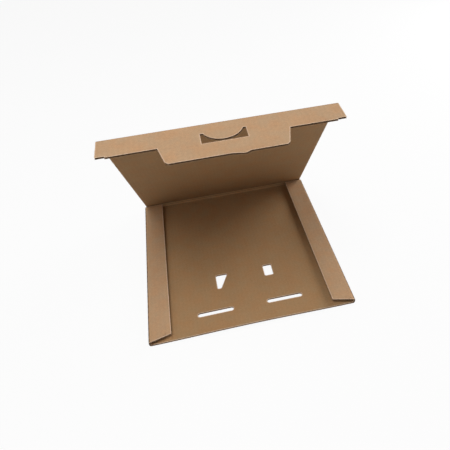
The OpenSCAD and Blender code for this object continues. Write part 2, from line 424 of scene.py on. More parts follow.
class Sheet:
    """Gathers the faces of one panel: its two papers, its open cut edges and the ends that fold."""

    # Rings along a cut, as shares of the rim's width and of the depth to which the flutes stand open
    RIMS = (0.0, 0.25, 1.0)
    CORE_DEPTHS = (0.06, 0.3, 0.55, 0.8, 1.0)

    # How evenly the die presses the rim down
    PRESS_EVEN, PRESS_UNEVEN = 0.75, 0.25

    # Points closer than this, in millimetres, are one point
    SAME_PLACE = 1e-4

    SHARP_FROM = radians(32)

    def __init__(self, board):
        self.board = board
        self.half = board.thickness / 2
        self.half_core = self.half - board.liner
        self.points, self.rims, self.faces, self.finishes = [], [], [], []

    def layer(self, places, height, rim):
        """Adds one point for each place at a height, pressed down near a cut. Returns their numbers."""
        first = sum(len(p) for p in self.points)
        near = np.clip(1 - np.broadcast_to(rim, len(places)) / self.board.rim, 0, 1) ** 2
        press = 1 - self.board.crush * near * (self.PRESS_EVEN + self.PRESS_UNEVEN * waver(places))
        self.points.append(np.column_stack((places, height * press)))
        self.rims.append(np.broadcast_to(rim, len(places)).astype(float))
        return first + np.arange(len(places))

    def band(self, low, high, finish, keep):
        """Faces between two closed rows of points. Seen from their front, they run from left to right."""
        for i in range(len(low)):
            if keep[i]:
                j = (i + 1) % len(low)
                self.faces.append((low[i], low[j], high[j], high[i]))
                self.finishes.append(finish)

    def cut_edge(self, path):
        """Both papers along a cut, the gap between them, and the wavy layer inside it."""
        rim, depth = self.board.rim, self.board.open_depth
        gap_rings = {}
        for side, finish in ((1, INSIDE), (-1, OUTSIDE)):
            rows = [self.layer(path.ring(part * rim), side * self.half, part * rim) for part in self.RIMS]
            for outer, inner in zip(rows, rows[1:]):
                self.turned_band(outer, inner, finish, path.cut, side)
            under = [
                self.layer(path.ring(far), side * self.half_core, min(far, rim)) for far in (0.0, rim, depth)
            ]
            self.turned_band(under[0], rows[0], CORE, path.cut, side)
            for outer, inner in zip(under, under[1:]):
                self.turned_band(outer, inner, CORE, path.cut, -side)
            gap_rings[side] = under[-1]
        self.band(gap_rings[-1], gap_rings[1], CORE, path.cut)
        self.wavy_layer(path)

    def turned_band(self, low, high, finish, keep, side):
        """Band that faces the inside of the box (side 1) or the outside (side -1)."""
        if side > 0:
            self.band(low, high, finish, keep)
        else:
            self.band(high, low, finish, keep)

    def wave(self, places):
        """Height of the middle of the wavy layer."""
        swing = self.half_core - self.board.medium / 2
        return swing * np.cos(2 * pi * places[:, 0] / self.board.flute_pitch)

    def wavy_layer(self, path):
        """Both faces of the wavy layer, and its cut edge between them."""
        rows = {1: [], -1: []}
        for part in self.CORE_DEPTHS:
            far = part * self.board.open_depth
            places = path.ring(far)
            for side in rows:
                height = self.wave(places) + side * self.board.medium / 2
                rows[side].append(self.layer(places, height, min(far, self.board.rim)))
        for side in rows:
            for outer, inner in zip(rows[side], rows[side][1:]):
                self.turned_band(outer, inner, CORE, path.cut, side)
        self.band(rows[-1][0], rows[1][0], CORE, path.cut)

    def folding_edges(self, path):
        """Closes each folding edge with its profile."""
        count = len(path.corner_at)
        rings = [path.ring(part * self.board.rim) for part in self.RIMS]
        for i, kind in enumerate(path.kinds):
            if kind is CUT:
                continue
            start, end = path.corner_at[i], path.corner_at[(i + 1) % count]
            inner = range(start + 1, end if end > start else len(path.places))
            places = [ring[start] for ring in rings] + [path.places[k] for k in inner]
            places += [ring[end] for ring in reversed(rings)]
            rims = [part * self.board.rim for part in self.RIMS]
            rims = np.array(rims + [self.board.rim] * len(inner) + rims[::-1])
            places = np.array(places)
            outward = -left_of(unit(places[-1] - places[0]))
            rows = [self.layer(places + outward * out, height, rims) for out, height in kind]
            for (_, above), (_, below), high, low in zip(kind, kind[1:], rows, rows[1:]):
                finish = INSIDE if above + below > 0 else OUTSIDE
                for a in range(len(places) - 1):
                    self.faces.append((low[a], low[a + 1], high[a + 1], high[a]))
                    self.finishes.append(finish)
            if len(kind) > 2:
                self.faces.append(tuple(row[0] for row in rows))
                self.faces.append(tuple(row[-1] for row in reversed(rows)))
                self.finishes += [CORE, CORE]

    def papers(self, loops, lines):
        """Both papers inside the rims, meshed finely enough to bend."""
        points = [point for loop in loops for point in loop]
        edges, first = [], 0
        for loop in loops:
            edges += [(first + i, first + (i + 1) % len(loop)) for i in range(len(loop))]
            first += len(loop)
        for line in lines:
            edges += [(first + i, first + i + 1) for i in range(len(line) - 1)]
            points += list(line)
            first += len(line)
        points += list(self.inner_points(loops))
        scaled = [Vector(point / MM) for point in points]
        made, _, triangles, came_from, _, _ = delaunay_2d_cdt(scaled, edges, [], 0, self.SAME_PLACE)
        places = [points[old[0]] if old else np.array(new) * MM for new, old in zip(made, came_from)]
        places = np.array(places)
        triangles = np.array(triangles)
        triangles = triangles[within(places[triangles].mean(1), loops)]
        for side, finish in ((1, INSIDE), (-1, OUTSIDE)):
            row = self.layer(places, side * self.half, self.board.rim)
            for a, b, c in triangles:
                self.faces.append((row[a], row[b], row[c]) if side > 0 else (row[c], row[b], row[a]))
                self.finishes.append(finish)

    def inner_points(self, loops):
        """Grid of places inside the rims, without those that would crowd their points."""
        step = self.board.mesh_step
        low, high = loops[0].min(0), loops[0].max(0)
        grid = np.stack(np.meshgrid(*(np.arange(a + step, b, step) for a, b in zip(low, high))), -1)
        grid = grid.reshape(-1, 2)
        grid = grid[within(grid, loops)]
        edge_points = np.concatenate(loops)
        near = [np.abs(edge_points - point).max(1).min() < step / 4 for point in grid]
        return grid[~np.array(near)]

    def built(self, name, to_space, start, crease_gap):
        """Makes the object. Points that share a place on the sheet are joined."""
        sheet, rims = np.concatenate(self.points), np.concatenate(self.rims)
        rounded = np.round(sheet / (self.SAME_PLACE * MM)).astype(np.int64)
        _, first, number = np.unique(rounded, axis=0, return_index=True, return_inverse=True)
        number = number.ravel()
        faces, finishes = [], []
        for face, finish in zip(self.faces, self.finishes):
            corners = [number[p] for p in face]
            corners = [p for i, p in enumerate(corners) if p != corners[i - 1]]
            if len(set(corners)) > 2:
                faces.append(corners)
                finishes.append(finish)
        sheet, rims = sheet[first], rims[first]
        on_sheet, gaps = sheet + (0, start, 0), crease_gap(sheet)
        piece = new_piece(name, to_space(sheet), faces, on_sheet, rims, gaps, self.SHARP_FROM)
        piece.data.polygons.foreach_set("material_index", finishes)
        return piece


def within(places, loops):
    """Which places lie inside the first loop and outside the others."""
    inside = np.zeros(len(places), bool)
    x, y = places.T
    for loop in loops:
        for (ax, ay), (bx, by) in zip(loop, np.roll(loop, -1, 0)):
            if ay != by:
                crosses = (ay > y) != (by > y)
                inside ^= crosses & (x < (bx - ax) * (y - ay) / (by - ay) + ax)
    return inside


def make_panel(name, outlines, lines, to_space, start, crease_gap):
    """One panel of the board, from its outline, its openings and its bend lines."""
    board = bpy.context.scene.mailer.board
    sheet = Sheet(board)
    loops = []
    for outline in outlines:
        path = Walk(outline, board)
        sheet.cut_edge(path)
        sheet.folding_edges(path)
        loops.append(path.ring(board.rim))
    sheet.papers(loops, lines)
    return sheet.built(name, to_space, start, crease_gap)


# Folding the flat sheet


class Creased:
    """Middle line of the board seen along a row of creases, each of which bends it by a right angle."""

    BEND_STEPS = 6

    def __init__(self, place, stretches, board):
        """stretches are the lengths of flat board, with a crease between each two."""
        self.radius = board.bend_radius + board.thickness / 2
        self.bend = self.radius * pi / 2
        self.legs, self.creases = [], []
        run, heading, place = 0.0, 0.0, np.array(place)
        for i, flat in enumerate(stretches):
            if i:
                self.legs.append((run, True, place, heading))
                self.creases.append((run, run + self.bend))
                ahead = np.array((np.cos(heading), np.sin(heading)))
                place = place + self.radius * (ahead + left_of(ahead))
                heading += pi / 2
                run += self.bend
            self.legs.append((run, False, place, heading))
            place = place + flat * np.array((np.cos(heading), np.sin(heading)))
            run += flat
        self.end = run

    def follow(self, run, height):
        """Places in space of points at a run along the sheet and a height off its middle."""
        out = np.zeros((len(run), 2))
        starts = np.array([leg[0] for leg in self.legs])
        which = np.clip(np.searchsorted(starts, run, side="right") - 1, 0, None)
        for k, (begin, bent, start, heading) in enumerate(self.legs):
            here = which == k
            gone = (run[here] - begin)[:, None]
            up = height[here][:, None]
            ahead = np.array((np.cos(heading), np.sin(heading)))
            left = left_of(ahead)
            if bent:
                centre = start + self.radius * left
                turn = gone / self.radius
                out[here] = centre + (self.radius - up) * (np.sin(turn) * ahead - np.cos(turn) * left)
            else:
                out[here] = start + gone * ahead + up * left
        return out

    def bend_lines(self):
        return [line for crease in self.creases for line in np.linspace(*crease, self.BEND_STEPS + 1)]


def line_along(x, low, high, step):
    """Points of a line from front to back at one place across."""
    count = ceil((high - low) / step)
    return np.column_stack((np.full(count + 1, x), np.linspace(low, high, count + 1)))


def tray_creases(settings):
    """The side's and the back's rows of creases."""
    board = settings.board
    thick, inside = board.thickness, board.bend_radius
    wall_x = TRAY_HIGH[0] - thick
    reach = settings.tray.side_flap_w - thick
    wall = TRAY_HIGH[2] - 2 * (thick + inside)
    side = Creased((0.0, thick / 2), (wall_x - inside, wall, reach - inside), board)
    back_flat = TRAY_HIGH[1] - thick - inside
    back = Creased((0.0, thick / 2), (back_flat, TRAY_HIGH[2] - thick - inside), board)
    return side, back


# How evenly a side flap sags along its length
SAG_EVEN, SAG_UNEVEN, SAG_WAVES = 0.6, 0.4, 14


def fold_tray(settings):
    """Function that folds the tray's sheet into space."""
    tray = settings.tray
    side, back = tray_creases(settings)
    flap_start = side.creases[-1][1]

    def bow(off, along):
        to_side = np.clip(off / side.creases[0][0], 0, 1)
        to_front = np.clip(1 - (along - TRAY_LOW[1]) / tray.front_bow_reach, 0, 1)
        return tray.front_bow * np.cos(to_side * pi / 2) ** 2 * to_front**2

    def sag(off, across, along):
        to_edge = np.clip((off - flap_start) / (side.end - flap_start), 0, 1)
        waves = np.sin(SAG_WAVES * along + 2 * np.sign(across))
        return tray.side_flap_sag * to_edge**2 * (SAG_EVEN + SAG_UNEVEN * waves)

    def to_space(sheet):
        across, along, height = sheet.T
        off = np.abs(across)
        sides = side.follow(off, height + sag(off, across, along))
        backs = back.follow(along, height)
        rises = along > back.creases[0][0]
        return np.column_stack(
            (
                np.where(rises, across, np.sign(across) * sides[:, 0]),
                np.where(rises, backs[:, 0], along),
                np.where(rises, backs[:, 1], sides[:, 1] + bow(off, along)),
            )
        )

    return to_space


def fold_flat(origin, turn, shape=None):
    """Function that stands a flat panel on its crease. shape(across, along) bends it off its plane."""
    ahead = np.array((0.0, np.cos(turn), np.sin(turn)))
    up = np.array((0.0, -np.sin(turn), np.cos(turn)))

    def to_space(sheet):
        across, along, height = sheet.T
        lift = height + shape(across, along) if shape else height
        return origin + across[:, None] * (1.0, 0.0, 0.0) + along[:, None] * ahead + lift[:, None] * up

    return to_space


def tray_outlines(settings):
    """The tray's sheet, whose front edge runs straight across, and its four openings."""
    board, tray = settings.board, settings.tray
    side, back = tray_creases(settings)
    front, wall_end = TRAY_LOW[1], TRAY_HIGH[1] - board.thickness - tray.corner_gap
    back_x = TRAY_HIGH[0] - settings.lid.inset
    top_crease = [(0.0, board.thickness / 2), (0.0, -board.thickness / 2)]
    sheet = both_sides(
        [
            ((side.creases[-1][1], front), CUT),
            ((side.end, front + tray.side_flap_taper), CUT),
            ((side.end, wall_end), CUT),
            ((back_x, wall_end), CUT),
            ((back_x, back.end), top_crease),
        ],
        front=CUT,
    )
    slot_x = (tray.slot_spacing + tray.slot_l) / 2
    slot_y = front + tray.slot_from_front
    slots = [slot((x, slot_y), tray.slot_l, tray.slot_w) for x in (-slot_x, slot_x)]
    return [sheet, *slots, left_finger_opening(tray, front), right_finger_opening(tray, front)]


def left_finger_opening(tray, front):
    start = front + tray.finger_from_front
    end = start + tray.finger_left_l
    outer = -tray.finger_left_x
    inner_front, inner_back = outer + tray.finger_left_front, outer + tray.finger_left_back
    corners = [(outer, start), (outer, end), (inner_back, end), (inner_front, start)]
    return rounded_opening(corners, tray.finger_r)


def right_finger_opening(tray, front):
    start = front + tray.finger_from_front + tray.finger_right_shift
    end = start + tray.finger_right_l
    outer, inner = tray.finger_right_x, tray.finger_right_x - tray.finger_right_w
    corners = [(inner, start), (inner, end), (outer, end), (outer, start)]
    return rounded_opening(corners, tray.finger_r)


def tray_bend_lines(settings):
    """Lines that the tray's mesh needs where it bends, each ending just short of the sheet's edges."""
    side, back = tray_creases(settings)
    board = settings.board
    step, short = board.mesh_step, 2 * board.rim
    low = TRAY_LOW[1] + short
    high = TRAY_HIGH[1] - board.thickness - settings.tray.corner_gap - short
    lines = []
    for across in side.bend_lines():
        lines += [line_along(sign * across, low, high, step) for sign in (-1, 1)]
    reach = TRAY_HIGH[0] - settings.lid.inset - short
    for along in back.bend_lines():
        lines.append(line_along(along, -reach, reach, step)[:, ::-1])
    return lines


def bead(half):
    """Round folding edge, as a half circle from the inside face to the outside face."""
    turns = np.linspace(0, pi, BEAD_STEPS + 1)
    return [(half * np.sin(turn), half * np.cos(turn)) for turn in turns]


def hollow(half, gap):
    """Folding edge that is hollowed round the bead beyond it, from the inside face to the outside face."""
    radius = half + gap
    turns = np.linspace(0, np.arcsin(half / radius), BEAD_STEPS + 1)
    curve = [(radius - radius * np.cos(turn), -radius * np.sin(turn)) for turn in turns]
    return [(0.0, half), *curve, (0.0, -half)]


def lid_outline(settings):
    half, gap = settings.board.thickness / 2, settings.lid.fold_gap
    right = TRAY_HIGH[0] - settings.lid.inset
    end = LID_LENGTH - half - gap
    return both_sides([((right, 0.0), CUT), ((right, end), hollow(half, gap))], front=bead(half))


def flap_outline(settings):
    flap = settings.flap
    right = TRAY_HIGH[0]
    trim_x, trim_y = right - flap.band_trim_l, flap.band_d - flap.band_trim_d
    root, tip = flap.tongue_root_w / 2, flap.tongue_tip_w / 2
    end = flap.band_d + flap.tongue_l
    points = [
        (-right, 0.0),
        (right, 0.0),
        (right, trim_y),
        (trim_x, trim_y),
        (trim_x, flap.band_d),
        (root, flap.band_d),
        (tip, end - flap.tongue_corner),
        (tip - flap.tongue_corner, end),
        (flap.nick_x + flap.nick_fall, end),
        (flap.nick_x, end + flap.nick_h),
        (flap.nick_x - flap.nick_rise, end),
        (flap.tongue_corner - tip, end),
        (-tip, end - flap.tongue_corner),
        (-root, flap.band_d),
        (-trim_x, flap.band_d),
        (-trim_x, trim_y),
        (-right, trim_y),
    ]
    kinds = [bead(settings.board.thickness / 2)] + [CUT] * (len(points) - 1)
    return [np.array(point) for point in points], kinds


def thumb_window(flap):
    """Window through the front flap, with the rounded thumb tab left standing at its root."""
    half_w, near = flap.window_w / 2, flap.window_from_fold
    far = near + flap.window_l
    half_tab = flap.tab_w / 2
    radius = (half_tab**2 + flap.tab_l**2) / (2 * flap.tab_l)
    middle = near + flap.tab_l - radius
    root = np.arctan2(near - middle, half_tab)
    tab = arc((0.0, middle), radius, root, pi - root, TAB_STEPS)
    return opening([*tab, (-half_w, near), (-half_w, far), (half_w, far), (half_w, near)])


# Paper that runs on over the two creases that move

STRIP_SHARP_FROM = radians(40)


def face_place(pivot, turn, along, height):
    """Place (back, up) on a panel that leaves a crease at a turn."""
    ahead = np.array((np.cos(turn), np.sin(turn)))
    return pivot + along * ahead + height * left_of(ahead)


def paper_strip(name, places, side, start, half_width):
    """Thin paper along a row of places, seen from inside the box (side 1) or from outside (side -1)."""
    paper = bpy.context.scene.mailer.crease.paper
    places = np.array(places)
    ahead = np.gradient(places, axis=0)
    faced = side * np.column_stack((-ahead[:, 1], ahead[:, 0])) / np.linalg.norm(ahead, axis=1)[:, None]
    run = np.concatenate(([0.0], np.cumsum(np.linalg.norm(np.diff(places, axis=0), axis=1))))
    loop = np.concatenate((places, (places - faced * paper)[::-1]))
    runs = np.concatenate((run, run[::-1]))
    across = (-half_width, half_width)
    points = [(x, y, z) for x in across for y, z in loop]
    sheet = np.array([(x, start + gone, 0.0) for x in across for gone in runs])
    count = len(loop)
    faces = [(i, (i + 1) % count, count + (i + 1) % count, count + i) for i in range(count)]
    for i in range(len(places) - 1):
        cap = (i, count - 1 - i, count - 2 - i, i + 1)
        faces += [cap, tuple(count + p for p in reversed(cap))]
    if side > 0:
        faces = [face[::-1] for face in faces]
    rims = np.full(len(sheet), FAR_FROM_CUT)
    # Distance from the strip's middle, along which the painted shade of the crease is darkest
    gaps = np.abs(np.tile(runs - run[-1] / 2, 2))
    return new_piece(name, points, faces, sheet, rims, gaps, STRIP_SHARP_FROM)


# Nodes of the materials and the sky


def empty_tree(owner):
    """Node tree of a material or a sky, with nothing in it yet."""
    owner.use_nodes = True
    owner.node_tree.nodes.clear()
    return owner.node_tree


def add_node(tree, kind, inputs=None, **settings):
    """Node whose inputs are each set to a value or joined to the output of another node."""
    made = tree.nodes.new(kind)
    for setting, value in settings.items():
        setattr(made, setting, value)
    for socket, value in (inputs or {}).items():
        if isinstance(value, bpy.types.NodeSocket):
            tree.links.new(value, made.inputs[socket])
        else:
            made.inputs[socket].default_value = value
    return made


def solid(tint_of):
    """Colour that hides what lies behind it."""
    return (*tint_of, 1.0)


class Paper:
    """Material built from nodes, with the board's own marks to draw on"""

    # The mixing node has sockets for numbers, vectors and colours. These are the ones for colours.
    MIX_FROM, MIX_TO, MIXED = 6, 7, 2

    CLOUD_ROUGHNESS = 0.55
    GLOSS = 0.2

    def __init__(self, name):
        self.material = bpy.data.materials.new(name)
        self.tree = empty_tree(self.material)
        marks = self.node("ShaderNodeAttribute", attribute_name="sheet")
        self.sheet = self.scaled(marks.outputs["Vector"], 1 / MM)
        parts = self.node("ShaderNodeSeparateXYZ", {0: self.sheet})
        self.across, self.along = parts.outputs[0], parts.outputs[1]

    def node(self, kind, inputs=None, **settings):
        return add_node(self.tree, kind, inputs, **settings)

    def maths(self, operation, *values):
        return self.node("ShaderNodeMath", dict(enumerate(values)), operation=operation).outputs[0]

    def scaled(self, vector, amount):
        """A place or a colour times an amount."""
        return self.node("ShaderNodeVectorMath", {0: vector, "Scale": amount}, operation="SCALE").outputs[0]

    def mark(self, name):
        """One of the board's marks, in millimetres."""
        marks = self.node("ShaderNodeAttribute", attribute_name=name)
        return self.maths("MULTIPLY", marks.outputs["Fac"], 1 / MM)

    def clouds(self, size, detail=2.0, squeeze=(1.0, 1.0, 1.0), turn=0.0, seed=0.0):
        """Noise from 0 to 1 in patches of size millimetres over squeeze. turn and seed pick its part."""
        shift, spin = (seed, seed, seed), (0, 0, turn)
        place = {"Vector": self.sheet, "Location": shift, "Rotation": spin, "Scale": squeeze}
        laid = self.node("ShaderNodeMapping", place).outputs[0]
        noise = {"Vector": laid, "Scale": 1 / size, "Detail": detail, "Roughness": self.CLOUD_ROUGHNESS}
        return self.node("ShaderNodeTexNoise", noise).outputs["Fac"]

    def ramp(self, value, low, high):
        """0 at low and 1 at high, smooth between them and level beyond."""
        ends = {"Value": value, "From Min": low, "From Max": high, "To Min": 0.0, "To Max": 1.0}
        return self.node("ShaderNodeMapRange", ends, interpolation_type="SMOOTHSTEP").outputs[0]

    def swing(self, value, amount):
        """A value from 0 to 1 as an offset of up to amount about 0."""
        return self.maths("MULTIPLY_ADD", value, 2 * amount, -amount)

    def mix(self, share_of, low, high):
        inputs = {"Factor": share_of, self.MIX_FROM: low, self.MIX_TO: high}
        return self.node("ShaderNodeMix", inputs, data_type="RGBA", blend_type="MIX").outputs[self.MIXED]

    def finish(self, tint_in, roughness, height, relief):
        bump = self.node("ShaderNodeBump", {"Strength": 1.0, "Distance": relief, "Height": height})
        look = {"Base Color": tint_in, "Roughness": roughness, "Specular IOR Level": self.GLOSS}
        shader = self.node("ShaderNodeBsdfPrincipled", {**look, "Normal": bump.outputs[0]})
        self.node("ShaderNodeOutputMaterial", {"Surface": shader.outputs[0]})
        return self.material


# Kraft paper

# Marks along the die's lines, in millimetres off the line of each: painted shade along a crease, slits whose
# dark is painted shade, and the rims of a cut. The first number is where the mark ends, and the second where
# it is whole.
CREASE_SHADE_LINE = (1.1, 0.3)
SLIT_LINE = (0.9, 0.4)
OPEN_RIM = (0.35, 0.0)
SCUFF_WHOLE = 0.6
SLIT_PITCH = 10.5

# Back wall: painted light that makes it paler, how far it fades at foot and top, in millimetres, and how
# much paler it is
FOOT_FADE, TOP_FADE = 0.6, 0.3
WALL_PAINTED_LIGHT = 0.36

# How strongly the brightness follows the blotches, mottle, grain and three sets of fibres, and the flutes
PATTERN_STRENGTHS = (0.07, 0.10, 0.05, 0.055, 0.045, 0.03)
FLUTE_STRENGTH = 0.012

# Change of the paper's red, green and blue in its warmer and in its cooler patches
WARMER, COOLER = (1.03, 0.97, 0.92), (0.98, 1.02, 1.05)

# Colour of a slit, whose dark is painted shade, as a share of the colour of the painted shade along a crease
SLIT_TO_CREASE_SHADE = 0.4

# Share of a mark's colour that shows where the mark is whole, and how much of the painted shade along a
# crease its patchy noise leaves
SCUFF_SHARE, OPEN_RIM_SHARE, SLIT_SHARE = 0.85, 0.35, 0.75
CREASE_SHADE_LEAST, CREASE_SHADE_MORE = 0.4, 0.5

# Roughness of a face, and what its mottle adds at most
FACE_ROUGHNESS, MOTTLE_ROUGHNESS = 0.78, 0.12
CORE_ROUGHNESS = 0.9

# Depth of the relief, and how much the flutes and the grain of a face count in it beside its fibres
FACE_RELIEF, CORE_RELIEF = 0.03 * MM, 0.05 * MM
FLUTE_RELIEF, GRAIN_RELIEF = 0.25, 0.6

# How strongly the brightness of the core follows its coarse and its fine noise
ROUGH_STRENGTH, FINE_STRENGTH = 0.16, 0.10


def fibres(paper):
    """Fibres of the paper: two sets that run from front to back, and a shorter one that runs across."""
    noises = (
        paper.clouds(size=0.5, detail=1.0, squeeze=(1.6, 0.14, 1.0), turn=radians(14), seed=3.0),
        paper.clouds(size=0.5, detail=1.0, squeeze=(1.3, 0.2, 1.0), turn=radians(-27), seed=11.0),
        paper.clouds(size=0.6, detail=1.0, squeeze=(0.25, 1.4, 1.0), turn=radians(9), seed=23.0),
    )
    return [paper.ramp(noise, 0.32, 0.68) for noise in noises]


def kraft_paper(name, tint_of, slit_at=None, wall=None):
    """Face of the board: blotches, fibres, faint flute lines, a scuffed rim and painted shade along creases.
    With slit_at it gets dark slits of painted shade, and with wall painted light on the back wall.
    """
    settings = bpy.context.scene.mailer
    kraft, board = settings.kraft, settings.board
    paper = Paper(name)
    blotches = paper.clouds(size=46.0, detail=3.0, seed=5.0)
    mottle = paper.clouds(size=3.6, detail=4.0, seed=17.0)
    grain = paper.clouds(size=0.45, detail=2.0, seed=29.0)
    long_one, long_two, cross = fibres(paper)
    flutes = paper.maths("COSINE", paper.maths("MULTIPLY", paper.across, 2 * pi * MM / board.flute_pitch))
    level = 1.0
    for pattern, strength in zip((blotches, mottle, grain, long_one, long_two, cross), PATTERN_STRENGTHS):
        level = paper.maths("ADD", level, paper.swing(pattern, strength))
    level = paper.maths("MULTIPLY_ADD", flutes, FLUTE_STRENGTH, level)
    # Painted light: the back wall is made paler, as where more light falls on it
    if wall:
        level = paper.maths("MULTIPLY", level, painted_wall_light(paper, wall))
    warm, cool = (solid(np.array(tint_of) * change) for change in (WARMER, COOLER))
    hue = paper.ramp(paper.clouds(size=21.0, detail=3.0, seed=41.0), 0.3, 0.7)
    tinted = paper.scaled(paper.mix(hue, warm, cool), level)
    # Painted shade along each crease, made patchy by noise, for the shadow in the fold's groove
    crease = paper.ramp(paper.mark("crease_gap"), *CREASE_SHADE_LINE)
    crease_shade_patches = paper.maths("MULTIPLY_ADD", paper.clouds(size=5.0, detail=3.0, seed=53.0), CREASE_SHADE_MORE, CREASE_SHADE_LEAST)
    tinted = paper.mix(paper.maths("MULTIPLY", crease, crease_shade_patches), tinted, solid(kraft.crease_shade))
    # Slits along a fold: the cracks are the paper's own, and their dark is painted shade
    if slit_at:
        tinted = paper.mix(slits(paper, slit_at), tinted, solid(np.array(kraft.crease_shade) * SLIT_TO_CREASE_SHADE))
    rim = paper.ramp(paper.mark("rim"), board.rim / MM, SCUFF_WHOLE)
    scuff = paper.maths("MULTIPLY", rim, paper.ramp(paper.clouds(size=2.4, detail=3.0, seed=61.0), 0.2, 0.6))
    tinted = paper.mix(paper.maths("MULTIPLY", scuff, SCUFF_SHARE), tinted, solid(kraft.scuffed))
    roughness = paper.maths("MULTIPLY_ADD", mottle, MOTTLE_ROUGHNESS, FACE_ROUGHNESS)
    height = paper.maths("MULTIPLY_ADD", flutes, FLUTE_RELIEF, paper.maths("ADD", long_one, long_two))
    height = paper.maths("MULTIPLY_ADD", grain, GRAIN_RELIEF, height)
    return paper.finish(tinted, roughness, height, FACE_RELIEF)


def painted_wall_light(paper, wall):
    """Painted light: a paler level of the paper on the back wall, between its two creases."""
    foot, top = wall[0] / MM, wall[1] / MM
    above_foot = paper.ramp(paper.along, foot, foot + FOOT_FADE)
    below_top = paper.ramp(paper.along, top + TOP_FADE, top - TOP_FADE)
    return paper.maths("MULTIPLY_ADD", paper.maths("MULTIPLY", above_foot, below_top), WALL_PAINTED_LIGHT, 1.0)


def slits(paper, slit_at):
    """Short slits that the die presses along a fold, where the paper opens, painted dark for the shade
    inside them.
    """
    off = paper.maths("SUBTRACT", paper.maths("ABSOLUTE", paper.across), slit_at / MM)
    near = paper.ramp(paper.maths("ABSOLUTE", off), *SLIT_LINE)
    wave = paper.maths("SINE", paper.maths("MULTIPLY", paper.along, 2 * pi / SLIT_PITCH))
    stray = paper.swing(paper.clouds(size=6.0, seed=71.0), 0.8)
    cut = paper.ramp(paper.maths("ADD", wave, stray), -0.2, 0.3)
    return paper.maths("MULTIPLY", paper.maths("MULTIPLY", near, cut), SLIT_SHARE)


def core_paper(name):
    """Inside of the board, as a cut edge shows it."""
    kraft = bpy.context.scene.mailer.kraft
    paper = Paper(name)
    rough = paper.clouds(size=1.1, detail=4.0, seed=83.0)
    fine = paper.clouds(size=0.35, squeeze=(1.0, 1.0, 2.0), seed=97.0)
    finely = paper.maths("ADD", 1.0, paper.swing(fine, FINE_STRENGTH))
    level = paper.maths("ADD", paper.swing(rough, ROUGH_STRENGTH), finely)
    open_rim = paper.ramp(paper.mark("rim"), *OPEN_RIM)
    pale = paper.maths("MULTIPLY", open_rim, paper.ramp(rough, 0.25, 0.6))
    pale_share = paper.maths("MULTIPLY", pale, OPEN_RIM_SHARE)
    tinted = paper.mix(pale_share, solid(kraft.core), solid(kraft.scuffed))
    return paper.finish(paper.scaled(tinted, level), CORE_ROUGHNESS, fine, CORE_RELIEF)


def papers(name, slit_at=None, wall=None):
    """The three finishes of a board, in the order of its faces' numbers."""
    kraft = bpy.context.scene.mailer.kraft
    return [
        kraft_paper(name + "_inside", kraft.inside, wall=wall),
        kraft_paper(name + "_outside", kraft.outside, slit_at),
        core_paper(name + "_core"),
    ]


def dress(piece, finishes, body, node):
    """Gives a panel its papers and lets it stand for its node of the frame."""
    for finish in finishes:
        piece.data.materials.append(finish)
    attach(piece, body)
    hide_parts(node)


# Steps that build the box


def lid_start(settings):
    """Place of the lid's hinge along the sheet, just beyond the top edge of the back wall."""
    _, back = tray_creases(settings)
    return back.end + HINGE[2] - TRAY_HIGH[2]


class MAILER_OT_tray(Operator):
    """Folds the base, the walls and the side flaps from one sheet"""

    bl_idname = "mailer.tray"
    bl_label = "Fold Tray"

    def execute(self, context):
        settings = context.scene.mailer
        side, back = tray_creases(settings)
        middles = [sum(crease) / 2 for crease in side.creases]
        back_crease = sum(back.creases[0]) / 2

        # Distance to the nearest crease, along which the papers paint shade
        def crease_gap(sheet):
            off = np.abs(sheet[:, 0])
            sides = np.min([np.abs(off - middle) for middle in middles], axis=0)
            backs = np.minimum(np.abs(sheet[:, 1] - back_crease), back.end - sheet[:, 1])
            return np.where(off > side.creases[0][0], sides, np.minimum(sides, backs))

        outlines, lines = tray_outlines(settings), tray_bend_lines(settings)
        piece = make_panel("tray_board", outlines, lines, fold_tray(settings), 0.0, crease_gap)
        # The inside paper gets painted light on the back wall, and the outside gets dark slits of painted
        # shade along the side flaps' folds
        dress(piece, papers("tray", middles[-1], (back.creases[0][1], back.end)), "tray", "tray")
        return {"FINISHED"}


class MAILER_OT_lid(Operator):
    """Stands the lid on the back wall's crease"""

    bl_idname = "mailer.lid"
    bl_label = "Stand Lid"

    def execute(self, context):
        settings = context.scene.mailer
        half_w = TRAY_HIGH[0] - settings.lid.inset

        def bow(across, along):
            to_end = np.sin(pi * np.clip(along / LID_LENGTH, 0, 1)) ** 2
            return -settings.lid.bow * (1 - (across / half_w) ** 2) * to_end

        # Distance to the crease, along which the papers paint shade
        def crease_gap(sheet):
            return np.minimum(np.abs(sheet[:, 1]), np.abs(LID_LENGTH - sheet[:, 1]))

        folded = fold_flat(HINGE, LID_TURN, bow)
        piece = make_panel("lid_board", [lid_outline(settings)], [], folded, lid_start(settings), crease_gap)
        dress(piece, papers("lid"), "lid", "lid")
        return {"FINISHED"}


class MAILER_OT_front_flap(Operator):
    """Hangs the front flap, with its tongue and thumb window, on the lid's front crease"""

    bl_idname = "mailer.front_flap"
    bl_label = "Hang Front Flap"

    def execute(self, context):
        settings = context.scene.mailer

        # Distance to the crease, along which the papers paint shade
        def crease_gap(sheet):
            return np.abs(sheet[:, 1])

        outlines = [flap_outline(settings), thumb_window(settings.flap)]
        start = lid_start(settings) + LID_LENGTH
        piece = make_panel("front_flap_board", outlines, [], fold_flat(FOLD, FLAP_TURN), start, crease_gap)
        dress(piece, papers("front_flap"), "front_flap", "front_flap")
        return {"FINISHED"}


